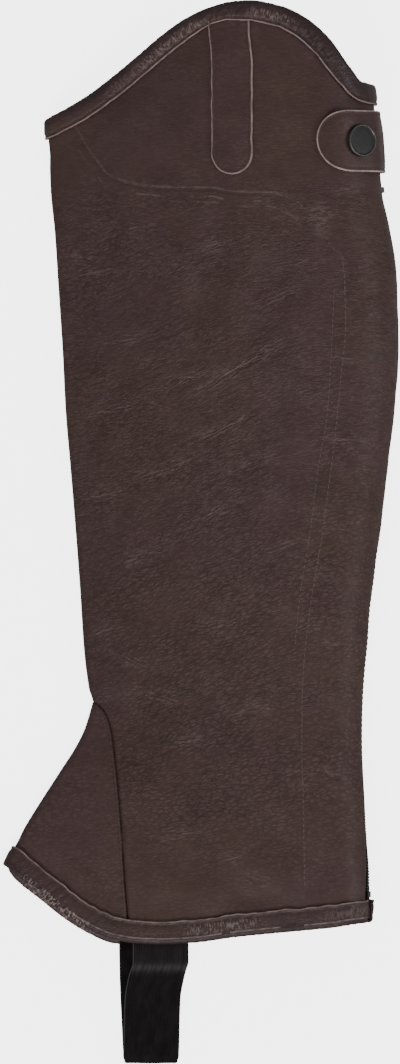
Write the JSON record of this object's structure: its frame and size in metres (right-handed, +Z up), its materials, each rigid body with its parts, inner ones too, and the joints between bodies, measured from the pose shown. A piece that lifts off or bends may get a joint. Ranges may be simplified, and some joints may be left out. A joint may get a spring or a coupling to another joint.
{
  "type": "half chap",
  "caption": "Leather riding half chap laid on its side: zip at the back, snap tab, bound top and hem, instep piece and elastic stirrup.",
  "frame": {"origin": "centre of the bounding box's base, on the surface that the half chap lies on", "axes": "+X from the shin fold to the zip, +Y from the stirrup to the top line, +Z up from the inner side to the outer side"},
  "size_m": [0.2101, 0.5623, 0.0603],
  "materials": {
    "leather": "pebbled dark brown grain, soft sheen",
    "binding": "folded dark brown strip with pale raw edges",
    "elastic": "ribbed black elastic, matt",
    "tape": "woven black tape, matt",
    "zip_teeth": "black moulded coil",
    "gunmetal": "dark gunmetal, satin"
  },
  "bodies": {
    "chap": {"leg_outer": "leather", "leg_inner": "leather", "instep_outer": "leather", "instep_inner": "leather", "top_binding_outer": "binding", "top_binding_inner": "binding", "hem_binding_outer": "binding", "hem_binding_inner": "binding", "tongue_strap": "leather", "snap_tab": "leather", "snap_cap": "gunmetal", "snap_stud": "gunmetal", "zip_tape": "tape", "zip_chain": "zip_teeth", "zip_stop": "zip_teeth", "zip_slider": "gunmetal", "stirrup_outer": "elastic", "stirrup_inner": "elastic"},
    "pull": {"zip_pull": "gunmetal"}
  },
  "joints": [
    {"name": "pull_hinge", "type": "hinge", "parent": "chap", "child": "pull", "pos_m": [0.09526, 0.1816, 0.01103], "axis": [0.5215, 0.074, 0.8501], "range_deg": [0, 150]}
  ]
}
